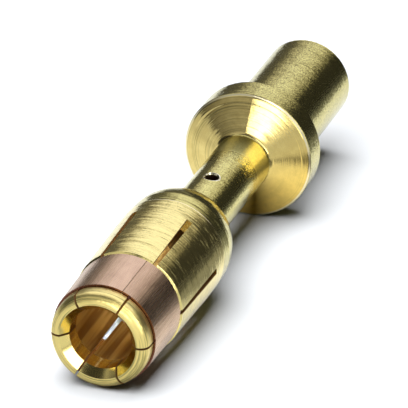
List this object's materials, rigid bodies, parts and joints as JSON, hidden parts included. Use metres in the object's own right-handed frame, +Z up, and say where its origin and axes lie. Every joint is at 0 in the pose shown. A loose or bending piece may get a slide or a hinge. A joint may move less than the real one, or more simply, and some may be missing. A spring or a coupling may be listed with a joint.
{
  "type": "crimp contact",
  "caption": "Turned and plated crimp socket contact: slotted spring tines in a rolled sleeve, a vented neck, a locating flange and a wire barrel.",
  "frame": {"origin": "middle of the contact's length and width, at the height of the surface that it lies on", "axes": "+X along the contact from the socket's mouth to the crimp barrel's mouth, +Z up as it lies at rest"},
  "size_m": [0.0296, 0.0062, 0.0063],
  "materials": {
    "gold_plating": "turned and plated in pale gold",
    "copper_sheet": "rolled bare copper alloy sheet"
  },
  "bodies": {
    "root": {"contact_body": "gold_plating", "spring_sleeve": "copper_sheet"}
  },
  "joints": []
}
